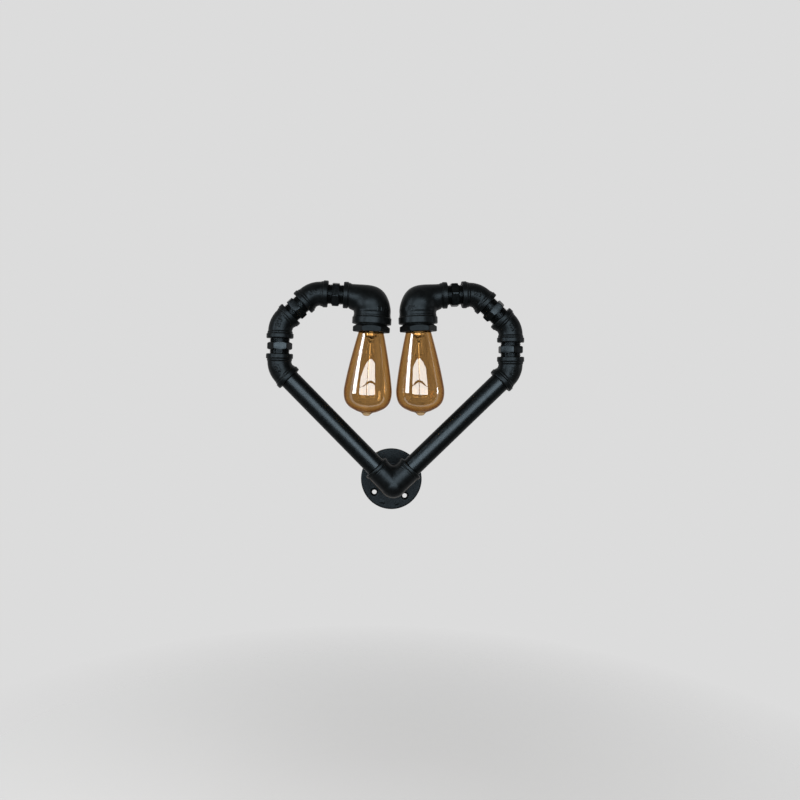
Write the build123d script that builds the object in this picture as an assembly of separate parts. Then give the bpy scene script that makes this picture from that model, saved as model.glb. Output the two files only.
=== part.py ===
"""A heart-shaped wall light of black iron pipe fittings with two long-necked filament bulbs.

Each node of the light is one STEP file in parts/. Millimetres and degrees.
+X runs to the viewer's right, +Y into the wall and +Z up. The origin is the centre of the
wall flange's back face, so the whole light lies on the -Y side of the wall.
"""

from build123d import *
import math
import os

# Route of the pipe axes, from the corner elbow up and round to the lamp outlet.
ARM_DEPTH = 66.0  # wall to the plane of the arms
ARM_RISE = 44.76  # arm above the horizontal
ELBOW_TURN = 45.9  # a 45 degree elbow and what its taper threads give
# Runs between the fittings' centres: the arm, then the lower, middle and upper nipples' runs.
# The two sides differ, because no two nipples screw up by the same number of turns.
ARM_RUN = 215.0
RUNS = {"left": (ARM_RUN, 59.3, 59.1, 79.2), "right": (ARM_RUN, 58.0, 63.0, 78.0)}

# Pipe and thread of the small size (nominal 3/4 inch).
PIPE_R = 13.35
PIPE_BORE_R = 10.8
THREAD_R = 13.2
THREAD_IN = 12.75  # length of thread inside a socket
SOCKET_DEPTH = 13.4
LEAD_IN = 1.1  # bevel at a socket's mouth, as deep as wide

# 45 degree elbows.
ELBOW_REACH = 19.5  # centre to face
ELBOW_BODY_R = 15.6
ELBOW_BEND_R = 24.0
BAND_R = 17.6
BAND_LENGTH = 6.4
FLANK_END = 10.8  # where the bead's back slope meets the body
ELBOW_TUBE_END = 17.5

# Corner elbow with a third outlet towards the wall.
CORNER_REACH = 33.0
CORNER_BAND_R = 17.75
CORNER_BAND_LENGTH = 4.6
CORNER_FLANK_END = 8.0
CORNER_BODY_R = 16.5
CORNER_BALL_R = 17.1
CORNER_CROTCH_R = 5.0
CORNER_CHAMBER_R = 12.0

# Wall flange and its nipple.
FLANGE_R = 42.5
FLANGE_THICK = 6.0
HUB_ROOT_R = 19.5
HUB_TOP_R = 18.0
HUB_HEIGHT = 19.0
HUB_FILLET_R = 3.0
CORE_HOLE_R = 11.0
CORE_HOLE_LENGTH = 7.0
SCREW_CIRCLE_R = 30.2
SCREW_HOLE_R = 3.2
SCREW_SINK_R = 5.5
SCREW_ANGLE = 39.0  # first hole above +X
SCREW_COUNT = 4
FLANGE_NIPPLE_GAP = 0.3  # between the core hole's step and the nipple's end

# Hexagon nipples.
HEX_LENGTH = 9.5
HEX_FLATS = 29.0
HEX_CORNER_R = 16.5
HEX_BEVEL = 1.2  # height of the turned corners
HEX_BEVEL_WIDTH = 2.0
NIPPLE_BORE_R = 9.8
# Turn of each hexagon about its own axis, as screwed up: lower, middle and upper nipple.
HEX_TURNS = {"left": (38.2, 12.2, 12.1), "right": (1.2, 38.8, 2.9)}

# Reducing elbow, nominal 1 1/4 inch outlet by 3/4 inch inlet.
SMALL_REACH = 39.3
SMALL_BAND_R = 17.35
SMALL_BAND_LENGTH = 6.4
SMALL_BODY_R = 14.9
SMALL_FLANK_END = 11.5
LARGE_REACH = 36.8
LARGE_BAND_R = 25.6
LARGE_BAND_LENGTH = 9.0
LARGE_BODY_R = 24.0
LARGE_FLANK_END = 12.5
LARGE_THREAD_R = 20.9
LARGE_SOCKET_DEPTH = 20.0
CROTCH_R = 2.0  # inside corner of the bend
CROTCH_HEIGHT = -21.4  # centre of that corner, below the inlet's axis
BACK_START = 5.5  # where the top line leaves the straight, measured towards the inlet
FAN_STATIONS = 4
HORN_START = 36.3  # where the horn begins, inside the inlet's bead
SLEEVE_END = 34.8  # where the outlet's sleeve ends, inside its bead
CHAMBER_R = 17.8
CHAMBER_SHOULDER = -6.6
CHAMBER_TOP = 1.6
CHAMBER_TOP_R = 11.4

# Hexagon ring in the outlet.
RING_SHOWN = 10.4
RING_INSIDE = 17.0
RING_NECK_R = 20.5
RING_NECK_LENGTH = 1.3
RING_BEVEL_LENGTH = 2.5
RING_FLATS = 43.0
RING_CORNER_R = 24.6
RING_BORE_R = 17.75
RING_EDGE = 0.8  # bevel of the ring's lower edges
RING_EDGE_HEIGHT = 1.0

# Lampholder for an E27 cap, measured down from the reducing elbow's centre.
HOLDER_TOP = 4.8
HOLDER_TOP_R = 12.5
HOLDER_R = 16.8
COLLAR_TOP = LARGE_REACH - LARGE_SOCKET_DEPTH
COLLAR_BOTTOM = LARGE_REACH - RING_INSIDE
COLLAR_R = 20.0
HOLDER_SKIRT_R = 17.2
HOLDER_BOTTOM = 38.2
HOLDER_FLOOR = 11.8
HOLDER_SHOULDER = 3.0
HOLDER_EDGE = 1.0
SHELL_R = 13.95
SHELL_BORE_R = 13.45
SHELL_BOTTOM = 32.8
SHELL_TURN_IN = 3.0
MOUTH_R = 14.6
TONGUE_WIDTH = 6.0
TONGUE_THICK = 0.6
TONGUE_PRESS = 0.3  # how far the pad stands below the bulb's contact
# Distances from the axis: end of the foot, start of the ramp, start and end of the pad.
TONGUE_LINE = (7.5, 3.5, 1.8, -3.5)
TERMINAL_OFFSET = 7.2
TERMINAL_SIZE = (6.0, 5.0, 4.5)
TERMINAL_EDGE = 0.6

# Bulb, measured down from the ring's bottom face.
CAP_BOTTOM = -7.4
CAP_TOP = -26.0
CAP_R = 13.1
CAP_SHEET = 0.3
CAP_CROWN_R = 9.6
CAP_CROWN_TOP = -28.6
CAP_SHOULDER = 1.4
CAP_SHOULDER_RISE = 1.0
INSULATOR_TOP = -33.0
INSULATOR_FOOT = 1.6
CONTACT_R = 5.2
CONTACT_TOP = -34.0
# Solder drop: inset from its radius and height below its top, from the foot to the crown.
CONTACT_LINE = ((0.4, 1.0), (1.2, 0.2), (2.4, 0.0))
GLASS_WALL = 0.9
GLASS_TOP = -20.0
# Radius and depth: cap's edge, cone, belly, heel, root of the nub.
GLASS_LINE = (
    (13.3, -6.9),
    (16.5, 0.0),
    (21.0, 18.5),
    (26.1, 42.2),
    (30.3, 66.0),
    (31.75, 80.0),
    (29.6, 91.5),
    (23.6, 99.2),
    (14.0, 104.4),
    (6.6, 105.8),
)
NUB_R = 3.9
NUB_BOTTOM = 110.6
NUB_SHOULDER = 2.6
STEM_FLARE_TOP = -12.0
STEM_FLARE = 1.2  # thickness of the flare
STEM_FLARE_DROP = 7.0  # from its rim down to the tube
STEM_PINCH = 14.0  # from its rim down to the pinched tube
STEM_TAPER = 4.0
STEM_BUTTON = 1.0  # how far the rod's button stands out
STEM_BUTTON_LENGTH = 2.4
STEM_TUBE_R = 3.4
STEM_TUBE_END = 14.0
STEM_ROD_R = 1.0
STEM_ROD_END = 86.0
UPPER_HOOKS = 30.0
LOWER_HOOKS = 83.0
UPPER_HOOK_R = 5.4
LOWER_HOOK_R = 7.6
HOOK_COUNT = 5
HOOK_WIRE_R = 0.3
HOOK_TIP = 0.8  # spoke beyond the filament
FILAMENT_R = 0.15
WIRE_GAP = 0.02
HOOK_CLEARANCE = 0.6  # half width of the wire's bridge over a hook

# Two-core lead of each lamp.
LEAD_R = 2.75
LEAD_OFFSET = 3.3
LEAD_START = 9.0  # in front of the wall, where the supply joins
LEAD_CORNER_BEND = 17.0
LEAD_ELBOW_BEND = 58.0
LEAD_END = 16.5  # short of the reducing elbow's centre
CORE_R = 1.15
CORE_BEND = 4.5
CORE_SPLIT = 1.3  # half the cores' distance in the sheath
CORE_STRAIGHT = 4.0
CORE_TURN = 8.0  # distance from the axis at which the cores are level with the terminals
CORE_TIP = 0.6

EDGE = 1.0  # rounding of a cast edge
BEAD_STEP = 0.45  # fine step behind a band's land
FOOT_SINK = 0.4  # how far a bead's foot is sunk into the body
OVERRUN = 1.0  # how far a cut reaches past the face that it cuts
PICK = 0.5  # margin by which edges are told apart


def polar(length, degrees):
    """A step in the plane of the arms, as (x, z)."""
    angle = math.radians(degrees)
    return length * math.cos(angle), length * math.sin(angle)


HEADINGS = [ARM_RISE + ELBOW_TURN * k for k in range(4)]
OUTLET_HEADING = HEADINGS[3] + 90.0


def route(name):
    """Corner points of one side's pipe axis, from the corner elbow to the lamp outlet.

    Both sides run to the right here, and place() mirrors the left one.
    """
    points = [(0.0, 0.0)]
    for run, heading in zip(RUNS[name], HEADINGS):
        points.append(along(points[-1], heading, run))
    return points


def place(side, point, heading, towards):
    """Plane at a route point: local Z along the heading, local X along a second heading.

    side is 1 on the viewer's right and -1 on the left.
    """
    x, z = point
    ax, az = polar(1.0, heading)
    bx, bz = polar(1.0, towards)
    origin = (side * x, -ARM_DEPTH, z)
    return Plane(origin=origin, x_dir=(side * bx, 0, bz), z_dir=(side * ax, 0, az))


def along(point, heading, distance):
    """The route point moved along a heading."""
    dx, dz = polar(distance, heading)
    return point[0] + dx, point[1] + dz


def turned(*points):
    """Solid of revolution about Z from its half outline, given as (radius, height) points."""
    return revolve(Plane.XZ * make_face(Polyline(*points, close=True)), Axis.Z)


def cylinder(radius, low, high):
    """Cylinder on the Z axis between two heights."""
    return Pos(0, 0, (low + high) / 2) * Cylinder(radius, high - low)


def hexagon(turn):
    """Hexagon prism about the origin, on Z, whose corners are turned off at both ends."""
    high = HEX_LENGTH / 2
    outline = RegularPolygon(HEX_FLATS / 2, 6, False, 30 + turn)
    dressed = turned(
        (0, -high),
        (HEX_CORNER_R - HEX_BEVEL_WIDTH, -high),
        (HEX_CORNER_R, -high + HEX_BEVEL),
        (HEX_CORNER_R, high - HEX_BEVEL),
        (HEX_CORNER_R - HEX_BEVEL_WIDTH, high),
        (0, high),
    )
    return extrude(outline, high, both=True) & dressed


def bead(face, band_r, band_length, body_r, flank_end):
    """Band round a socket's mouth: rounded lip, parallel land, fine step, back slope.

    The mouth faces +Z at height face, and the bead runs down from it until its slope
    has sunk into the body.
    """
    lip = EDGE * 0.3
    return turned(
        (0, face),
        (band_r - EDGE, face),
        (band_r - lip, face - lip),
        (band_r, face - EDGE),
        (band_r, face - band_length),
        (band_r - BEAD_STEP, face - band_length - BEAD_STEP),
        (body_r - FOOT_SINK, face - flank_end),
        (0, face - flank_end),
    )


def socket(face):
    """Threaded hole whose mouth faces +Z at height face, with a bevelled edge."""
    return turned(
        (0, face - SOCKET_DEPTH),
        (THREAD_R, face - SOCKET_DEPTH),
        (THREAD_R, face - LEAD_IN),
        (THREAD_R + LEAD_IN, face),
        (THREAD_R + LEAD_IN, face + OVERRUN),
        (0, face + OVERRUN),
    )


def leg(turn):
    """Rotation that takes the local +Z leg to a leg turned towards +X."""
    return Rot(0, turn, 0)


def bend_path(turn, start, end, bend_r):
    """Centre line that comes in along +Z, turns towards +X at the origin and goes out."""
    half = math.radians(turn / 2)
    tangent = bend_r * math.tan(half)
    middle_gap = bend_r / math.cos(half) - bend_r
    middle = Vector(math.cos(half), 0, -math.sin(half)) * middle_gap
    out = Vector(math.sin(2 * half), 0, math.cos(2 * half))
    first = Line((0, 0, -start), (0, 0, -tangent))
    arc = ThreePointArc((0, 0, -tangent), middle, out * tangent)
    last = Line(out * tangent, out * end)
    return first + arc + last


def swept_tube(radius, path, start):
    """Round bar along a path that starts along +Z at the given depth below the origin."""
    return sweep(Plane((0, 0, -start)) * Circle(radius), path=path)


def elbow_45():
    """45 degree elbow: comes in along +Z and turns towards +X at the origin."""
    path = bend_path(ELBOW_TURN, ELBOW_TUBE_END, ELBOW_TUBE_END, ELBOW_BEND_R)
    body = swept_tube(ELBOW_BODY_R, path, ELBOW_TUBE_END)
    mouth = bead(ELBOW_REACH, BAND_R, BAND_LENGTH, ELBOW_BODY_R, FLANK_END)
    ends = (leg(ELBOW_TURN), leg(180))
    for end in ends:
        body += end * mouth
    body -= swept_tube(PIPE_BORE_R, path, ELBOW_TUBE_END)
    for end in ends:
        body -= end * socket(ELBOW_REACH)
    return body


def corner_elbow():
    """Three-way corner elbow: two arms in the XZ plane and one outlet towards the wall."""
    neck = cylinder(CORNER_BODY_R, 0, CORNER_REACH - CORNER_FLANK_END)
    mouth = bead(
        CORNER_REACH, CORNER_BAND_R, CORNER_BAND_LENGTH, CORNER_BODY_R, CORNER_FLANK_END
    )
    way = cylinder(PIPE_BORE_R, 0, CORNER_REACH)
    directions = (Rot(0, 90 - ARM_RISE, 0), Rot(0, ARM_RISE - 90, 0), Rot(-90, 0, 0))
    body = Sphere(CORNER_BALL_R)
    for direction in directions:
        body += direction * neck
    crotch = [
        edge
        for edge in body.edges().filter_by(GeomType.ELLIPSE)
        if (edge @ 0.5).length > CORNER_BALL_R + PICK
    ]
    body = fillet(crotch, CORNER_CROTCH_R)
    for direction in directions:
        body += direction * mouth
    body -= Sphere(CORNER_CHAMBER_R)
    for direction in directions:
        body -= direction * way
        body -= direction * socket(CORNER_REACH)
    return Pos(0, -ARM_DEPTH, 0) * body


def wall_flange():
    """Round floor flange, its hub towards -Y, with countersunk screw holes."""
    disc = turned(
        (0, 0),
        (FLANGE_R, 0),
        (FLANGE_R, FLANGE_THICK - EDGE),
        (FLANGE_R - EDGE, FLANGE_THICK),
        (0, FLANGE_THICK),
    )
    hub = turned(
        (0, FLANGE_THICK - EDGE),
        (HUB_ROOT_R, FLANGE_THICK - EDGE),
        (HUB_TOP_R, HUB_HEIGHT - EDGE),
        (HUB_TOP_R - EDGE, HUB_HEIGHT),
        (0, HUB_HEIGHT),
    )
    body = disc + hub
    root = [
        edge
        for edge in body.edges().filter_by(GeomType.CIRCLE)
        if abs(edge.center().Z - FLANGE_THICK) < PICK and edge.radius < HUB_ROOT_R + PICK
    ]
    body = fillet(root, HUB_FILLET_R)
    body -= cylinder(CORE_HOLE_R, -OVERRUN, CORE_HOLE_LENGTH)
    body -= cylinder(THREAD_R, CORE_HOLE_LENGTH, HUB_HEIGHT + OVERRUN)
    sink_depth = SCREW_SINK_R - SCREW_HOLE_R
    screw = cylinder(SCREW_HOLE_R, -OVERRUN, FLANGE_THICK + OVERRUN)
    screw += turned(
        (0, FLANGE_THICK - sink_depth),
        (SCREW_HOLE_R, FLANGE_THICK - sink_depth),
        (SCREW_SINK_R, FLANGE_THICK),
        (SCREW_SINK_R, FLANGE_THICK + OVERRUN),
        (0, FLANGE_THICK + OVERRUN),
    )
    for k in range(SCREW_COUNT):
        x, z = polar(SCREW_CIRCLE_R, SCREW_ANGLE + k * 360 / SCREW_COUNT)
        body -= Pos(x, z, 0) * screw
    return Plane(origin=(0, 0, 0), x_dir=(1, 0, 0), z_dir=(0, -1, 0)) * body


def barrel(length, shown_low, shown_high, bore_r):
    """Pipe piece on Z: threaded ends, plain stretch between two heights, through bore."""
    body = cylinder(THREAD_R, 0, length)
    body += cylinder(PIPE_R, shown_low, shown_high)
    return body - cylinder(bore_r, -OVERRUN, length + OVERRUN)


def flange_nipple():
    """Short plain nipple between the flange's hub and the corner elbow."""
    inner_end = CORE_HOLE_LENGTH + FLANGE_NIPPLE_GAP
    outer_end = ARM_DEPTH - CORNER_REACH + THREAD_IN
    shown_low = HUB_HEIGHT - inner_end
    shown_high = ARM_DEPTH - CORNER_REACH - inner_end
    body = barrel(outer_end - inner_end, shown_low, shown_high, PIPE_BORE_R)
    return Plane(origin=(0, -inner_end, 0), x_dir=(1, 0, 0), z_dir=(0, -1, 0)) * body


def arm_pipe(side):
    """Long straight pipe from the corner elbow to the lower 45 degree elbow."""
    low = CORNER_REACH - THREAD_IN
    high = ARM_RUN - ELBOW_REACH + THREAD_IN
    body = barrel(high - low, THREAD_IN, high - low - THREAD_IN, PIPE_BORE_R)
    start = polar(low, HEADINGS[0])
    return place(side, start, HEADINGS[0], HEADINGS[0] + 90) * body


def hex_nipple(shown, turn):
    """Hexagon nipple on Z, centred on the origin, with the given length between sockets."""
    half = shown / 2 + THREAD_IN
    body = cylinder(THREAD_R, -half, half)
    body += hexagon(turn)
    return body - cylinder(NIPPLE_BORE_R, -half - OVERRUN, half + OVERRUN)


def back_point(angle):
    """Where a ray from the crotch's centre meets the back of the reducing elbow.

    The back is straight on top, then a quarter ellipse, and the ray leans from +Z
    towards -X by the angle, in radians.
    """
    lean_x = -math.sin(angle)
    lean_z = math.cos(angle)
    hub_x = LARGE_BODY_R + CROTCH_R
    top = SMALL_BODY_R - CROTCH_HEIGHT
    straight = top / lean_z if lean_z > 0.01 else math.inf
    if hub_x + straight * lean_x >= BACK_START:
        return hub_x + straight * lean_x, SMALL_BODY_R
    wide = BACK_START + LARGE_BODY_R
    gap = hub_x - BACK_START
    a = (lean_x / wide) ** 2 + (lean_z / top) ** 2
    b = 2 * gap * lean_x / wide**2
    c = (gap / wide) ** 2 - 1
    reach = (-b + math.sqrt(b * b - 4 * a * c)) / (2 * a)
    return hub_x + reach * lean_x, CROTCH_HEIGHT + reach * lean_z


def horn():
    """Body of the reducing elbow: round sections that fan about the crotch's centre.

    Local +X runs to the inlet and local -Z to the outlet.
    """
    inlet = Plane((HORN_START, 0, 0), x_dir=(0, 1, 0), z_dir=(-1, 0, 0))
    sections = [inlet * Circle(SMALL_BODY_R)]
    for k in range(FAN_STATIONS + 1):
        angle = math.radians(90 * k / FAN_STATIONS)
        inner = Vector(LARGE_BODY_R + CROTCH_R, 0, CROTCH_HEIGHT)
        inner += Vector(-math.sin(angle), 0, math.cos(angle)) * CROTCH_R
        back_x, back_z = back_point(angle)
        across = Vector(back_x, 0, back_z) - inner
        normal = across.normalized().cross(Vector(0, 1, 0))
        middle = Plane(inner + across * 0.5, x_dir=(0, 1, 0), z_dir=normal)
        sections.append(middle * Circle(across.length / 2))
    return loft(sections)


def reducing_elbow():
    """Elbow that grows from the small inlet at +X to the large outlet at -Z."""
    body = horn()
    body += cylinder(LARGE_BODY_R, -SLEEVE_END, CROTCH_HEIGHT)
    small_mouth = bead(
        SMALL_REACH, SMALL_BAND_R, SMALL_BAND_LENGTH, SMALL_BODY_R, SMALL_FLANK_END
    )
    large_mouth = bead(
        LARGE_REACH, LARGE_BAND_R, LARGE_BAND_LENGTH, LARGE_BODY_R, LARGE_FLANK_END
    )
    body += Rot(0, 90, 0) * small_mouth
    body += Rot(180, 0, 0) * large_mouth
    body -= Rot(0, 90, 0) * socket(SMALL_REACH)
    body -= Rot(0, 90, 0) * cylinder(PIPE_BORE_R, 0, SMALL_REACH)
    body -= turned(
        (0, -LARGE_REACH - OVERRUN),
        (LARGE_THREAD_R + LEAD_IN, -LARGE_REACH - OVERRUN),
        (LARGE_THREAD_R + LEAD_IN, -LARGE_REACH),
        (LARGE_THREAD_R, -LARGE_REACH + LEAD_IN),
        (LARGE_THREAD_R, -COLLAR_TOP),
        (CHAMBER_R, -COLLAR_TOP),
        (CHAMBER_R, CHAMBER_SHOULDER),
        (CHAMBER_TOP_R, CHAMBER_TOP),
        (0, CHAMBER_TOP),
    )
    return body


def lamp_ring():
    """Hexagon ring below the outlet: thread up into the elbow, hexagon down, wide bore."""
    face = -LARGE_REACH
    neck_end = face - RING_NECK_LENGTH
    bevel_end = neck_end - RING_BEVEL_LENGTH
    bottom = face - RING_SHOWN
    body = cylinder(LARGE_THREAD_R, face, face + RING_INSIDE)
    body += cylinder(RING_NECK_R, neck_end, face)
    cone = turned(
        (0, bottom),
        (RING_CORNER_R - RING_EDGE, bottom),
        (RING_CORNER_R, bottom + RING_EDGE_HEIGHT),
        (RING_CORNER_R, bevel_end),
        (RING_NECK_R, neck_end),
        (0, neck_end),
    )
    flats = Pos(0, 0, bottom) * extrude(
        RegularPolygon(RING_FLATS / 2, 6, False, 0), neck_end - bottom
    )
    body += cone & flats
    body -= cylinder(RING_BORE_R, bottom - OVERRUN, face + RING_INSIDE + OVERRUN)
    lead_in = turned(
        (0, bottom),
        (RING_BORE_R + RING_EDGE, bottom),
        (RING_BORE_R, bottom + RING_EDGE),
        (0, bottom + RING_EDGE),
    )
    return body - lead_in


def lampholder_body():
    """Porcelain holder: its collar sits between the elbow's shoulder and the ring's end."""
    return turned(
        (0, -HOLDER_TOP),
        (HOLDER_TOP_R, -HOLDER_TOP),
        (HOLDER_R, -HOLDER_TOP - HOLDER_SHOULDER),
        (HOLDER_R, -COLLAR_TOP),
        (COLLAR_R, -COLLAR_TOP),
        (COLLAR_R, -COLLAR_BOTTOM),
        (HOLDER_SKIRT_R, -COLLAR_BOTTOM),
        (HOLDER_SKIRT_R, -HOLDER_BOTTOM + HOLDER_EDGE),
        (HOLDER_SKIRT_R - HOLDER_EDGE, -HOLDER_BOTTOM),
        (MOUTH_R, -HOLDER_BOTTOM),
        (MOUTH_R, -SHELL_BOTTOM),
        (SHELL_R, -SHELL_BOTTOM),
        (SHELL_R, -HOLDER_FLOOR),
        (0, -HOLDER_FLOOR),
    )


def lampholder_shell():
    """Brass sleeve that the bulb's cap screws into, turned in at its closed end."""
    sheet = SHELL_R - SHELL_BORE_R
    return turned(
        (SHELL_R, -HOLDER_FLOOR),
        (SHELL_R, -SHELL_BOTTOM),
        (SHELL_BORE_R, -SHELL_BOTTOM),
        (SHELL_BORE_R, -HOLDER_FLOOR - sheet),
        (SHELL_BORE_R - SHELL_TURN_IN, -HOLDER_FLOOR - sheet),
        (SHELL_BORE_R - SHELL_TURN_IN, -HOLDER_FLOOR),
    )


def lampholder_contact():
    """Brass tongue under the bulb: foot on the floor, ramp, raised pad on the axis."""
    floor = -HOLDER_FLOOR
    pad_top = -(LARGE_REACH + RING_SHOWN + CONTACT_TOP) + TONGUE_PRESS
    foot_end, ramp_start, pad_start, pad_end = TONGUE_LINE
    line = Polyline(
        (foot_end, floor - TONGUE_THICK / 2),
        (ramp_start, floor - TONGUE_THICK / 2),
        (pad_start, pad_top + TONGUE_THICK / 2),
        (pad_end, pad_top + TONGUE_THICK / 2),
    )
    strip = offset(line, TONGUE_THICK / 2, side=Side.BOTH)
    return extrude(Plane.XZ * make_face(strip), TONGUE_WIDTH / 2, both=True)


def terminals():
    """Two brass blocks on the porcelain, each with a hole for a core's end."""
    length, width, height = TERMINAL_SIZE
    block = Pos(0, 0, -HOLDER_TOP + height / 2) * Box(length, width, height)
    block = chamfer(block.edges().filter_by(Axis.Z), TERMINAL_EDGE)
    hole = Pos(length / 2, 0, -HOLDER_TOP + height / 2) * Rot(0, 90, 0) * Cylinder(CORE_R, length)
    block -= hole
    return [Pos(0, sign * TERMINAL_OFFSET, 0) * block for sign in (1, -1)]


def bulb_line(inset):
    """Side of the glass from the cap's edge down to the nub, moved in by inset."""
    points = []
    last = len(GLASS_LINE) - 1
    for k, (radius, depth) in enumerate(GLASS_LINE):
        before = GLASS_LINE[max(k - 1, 0)]
        after = GLASS_LINE[min(k + 1, last)]
        run = Vector(after[0] - before[0], before[1] - after[1]).normalized()
        points.append(Vector(radius, -depth) + Vector(run.Y, -run.X) * inset)
    return Spline(*points, tangents=[(0.3, -1), (-1, -0.1)])


def bulb_glass():
    """Amber envelope: straight neck in the cap, long cone, full belly, sealed-off nub."""
    neck = CAP_R - CAP_SHEET
    bore = neck - GLASS_WALL
    outer = bulb_line(0)
    inner = bulb_line(GLASS_WALL)
    nub_root = outer @ 1
    inner_end = inner @ 1
    nub_side = (NUB_R, -NUB_BOTTOM + NUB_SHOULDER)
    nub = Spline(nub_root, nub_side, (0, -NUB_BOTTOM), tangents=[(-1, -0.3), (-1, 0)])
    outline = Polyline((bore, -GLASS_TOP), (neck, -GLASS_TOP), (neck, -CAP_BOTTOM), outer @ 0)
    outline += outer
    outline += nub
    outline += Polyline((0, -NUB_BOTTOM), (0, inner_end.Y), inner_end)
    outline += inner
    outline += Polyline(inner @ 0, (bore, -CAP_BOTTOM), (bore, -GLASS_TOP))
    return revolve(Plane.XZ * make_face(outline), Axis.Z)


def bulb_cap():
    """Pressed brass cap: sleeve and rounded crown round the insulator."""
    return turned(
        (CAP_R, -CAP_BOTTOM),
        (CAP_R - CAP_SHEET, -CAP_BOTTOM),
        (CAP_R - CAP_SHEET, -CAP_TOP - CAP_SHEET / 3),
        (CAP_CROWN_R, -CAP_CROWN_TOP - CAP_SHEET),
        (CAP_CROWN_R, -CAP_CROWN_TOP),
        (CAP_R - CAP_SHOULDER, -CAP_CROWN_TOP - CAP_SHOULDER_RISE),
        (CAP_R, -CAP_TOP),
    )


def bulb_insulator():
    """Black glass cone that carries the centre contact."""
    return turned(
        (0, -CAP_CROWN_TOP - INSULATOR_FOOT),
        (CAP_CROWN_R, -CAP_CROWN_TOP - INSULATOR_FOOT),
        (CAP_CROWN_R, -CAP_CROWN_TOP),
        (CONTACT_R, -INSULATOR_TOP),
        (0, -INSULATOR_TOP),
    )


def bulb_contact():
    """Soldered centre contact."""
    line = [(CONTACT_R - inset, -CONTACT_TOP - depth) for inset, depth in CONTACT_LINE]
    return turned((0, -INSULATOR_TOP), *line, (0, -CONTACT_TOP))


def bulb_stem():
    """Clear glass mount: flare sealed to the neck, pinched tube, rod with a button end."""
    neck_bore = CAP_R - CAP_SHEET - GLASS_WALL
    rim = -STEM_FLARE_TOP
    rod_end = -STEM_ROD_END
    return turned(
        (0, rim - STEM_FLARE_DROP + STEM_FLARE),
        (STEM_TUBE_R, rim - STEM_FLARE_DROP + 2 * STEM_FLARE),
        (neck_bore, rim),
        (neck_bore, rim - STEM_FLARE),
        (STEM_TUBE_R + STEM_FLARE, rim - STEM_FLARE_DROP),
        (STEM_TUBE_R, rim - STEM_PINCH),
        (STEM_TUBE_R, -STEM_TUBE_END + STEM_TAPER),
        (STEM_ROD_R, -STEM_TUBE_END),
        (STEM_ROD_R, rod_end + STEM_BUTTON_LENGTH),
        (STEM_ROD_R + STEM_BUTTON, rod_end + STEM_BUTTON_LENGTH / 2),
        (STEM_ROD_R, rod_end),
        (0, rod_end),
    )


def bar_between(start, end, radius):
    """Six-sided wire between two points."""
    line = Line(start, end)
    return sweep(Plane(line @ 0, z_dir=line % 0) * RegularPolygon(radius, 6), path=line)


def ring_point(radius, degrees, depth):
    """Point on a ring round the bulb's axis."""
    x, y = polar(radius, degrees)
    return x, y, -depth


def bulb_supports():
    """Spokes of the upper and lower hook rings, from the stem's rod outwards."""
    pitch = 360 / HOOK_COUNT
    spokes = []
    for hooks, radius, first in ((UPPER_HOOKS, UPPER_HOOK_R, 0), (LOWER_HOOKS, LOWER_HOOK_R, 0.5)):
        for k in range(HOOK_COUNT):
            angle = (k + first) * pitch
            root = ring_point(STEM_ROD_R, angle, hooks)
            tip = ring_point(radius + HOOK_TIP, angle, hooks)
            spokes.append(bar_between(root, tip, HOOK_WIRE_R))
    return spokes


def bulb_filament():
    """Squirrel-cage filament: one wire that zigzags over and under the two hook rings."""
    pitch = 360 / HOOK_COUNT
    lift = HOOK_WIRE_R + FILAMENT_R + WIRE_GAP
    upper_half = math.degrees(HOOK_CLEARANCE / UPPER_HOOK_R)
    lower_half = math.degrees(HOOK_CLEARANCE / LOWER_HOOK_R)
    points = []
    for k in range(HOOK_COUNT):
        for turn in (-upper_half, upper_half):
            points.append(ring_point(UPPER_HOOK_R, k * pitch + turn, UPPER_HOOKS - lift))
        for turn in (-lower_half, lower_half):
            points.append(ring_point(LOWER_HOOK_R, (k + 0.5) * pitch + turn, LOWER_HOOKS + lift))
    wire = bar_between(points[0], points[1], FILAMENT_R)
    for start, end in zip(points[1:-2], points[2:-1]):
        wire += bar_between(start, end, FILAMENT_R)
    return wire


def lead_sheath(side, points):
    """Round two-core lead from the wall, through the arm and its fittings, to the lamp."""
    corners = [(side * LEAD_OFFSET, -LEAD_START, 0), (side * LEAD_OFFSET, -ARM_DEPTH, 0)]
    corners += [(side * x, -ARM_DEPTH, z) for x, z in points[1:4]]
    end = along(points[4], HEADINGS[3], -LEAD_END)
    corners.append((side * end[0], -ARM_DEPTH, end[1]))
    bends = [LEAD_CORNER_BEND] + [LEAD_ELBOW_BEND] * 3
    path = FilletPolyline(*corners, radius=bends)
    section = Plane(path @ 0, z_dir=path % 0) * Circle(LEAD_R)
    return sweep(section, path=path)


def lead_cores():
    """Bared cores from the sheath's end to the two terminal blocks."""
    height = -HOLDER_TOP + TERMINAL_SIZE[2] / 2
    cores = []
    for sign in (1, -1):
        path = FilletPolyline(
            (LEAD_END, sign * CORE_SPLIT, 0),
            (LEAD_END - CORE_STRAIGHT, sign * CORE_SPLIT, 0),
            (CORE_TURN, sign * TERMINAL_OFFSET, height),
            (CORE_TIP, sign * TERMINAL_OFFSET, height),
            radius=CORE_BEND,
        )
        cores.append(sweep(Plane(path @ 0, z_dir=path % 0) * Circle(CORE_R), path=path))
    return cores


def save(name, shape):
    """Write one node, made of one solid or of a list of them."""
    solids = shape if isinstance(shape, list) else [shape]
    solids = [solid for item in solids for solid in item.solids()]
    whole = solids[0] if len(solids) == 1 else Compound(children=solids)
    whole.label = name
    export_step(whole, f"parts/{name}.step")


def moved(plane, shape):
    """Shape or list of shapes set on a plane."""
    if isinstance(shape, list):
        return [plane * item for item in shape]
    return plane * shape


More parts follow.
